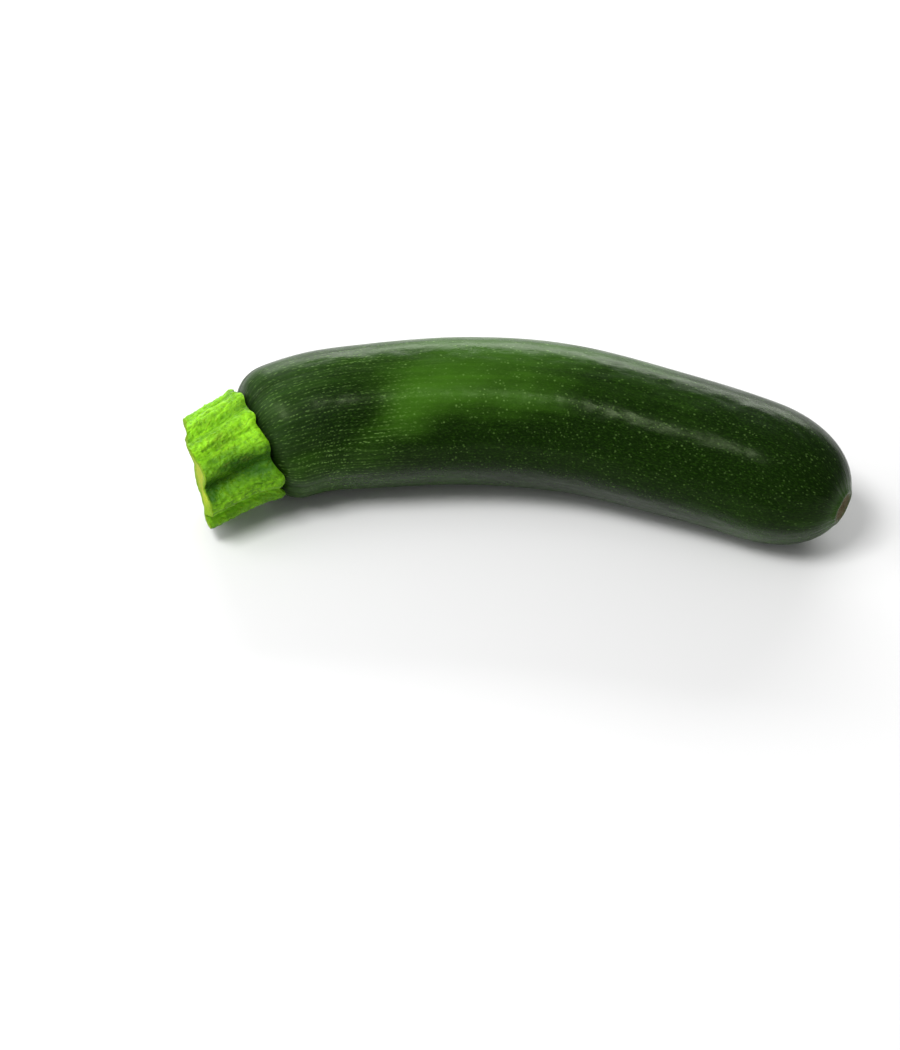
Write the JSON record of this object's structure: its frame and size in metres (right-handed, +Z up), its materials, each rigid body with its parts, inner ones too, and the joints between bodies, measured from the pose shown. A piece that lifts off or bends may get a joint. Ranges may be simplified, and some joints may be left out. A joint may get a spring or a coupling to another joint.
{
  "type": "zucchini",
  "caption": "Long, gently curved dark green zucchini with the ribbed, cut stub of its stem, lying on its side.",
  "frame": {"origin": "on the ground, under the middle of the whole object's box", "axes": "+X towards the blossom end, so the stem points to -X; +Z up; the ends of the bend come forward to -Y"},
  "size_m": [0.2026, 0.071, 0.0457],
  "materials": {
    "fruit_skin": "thin waxy skin, dark green with pale flecks, softly glossy",
    "stem_skin": "bright yellow-green, fibrous and granular, with a paler moist cut"
  },
  "bodies": {
    "root": {"fruit": "fruit_skin", "stem": "stem_skin"}
  },
  "joints": []
}
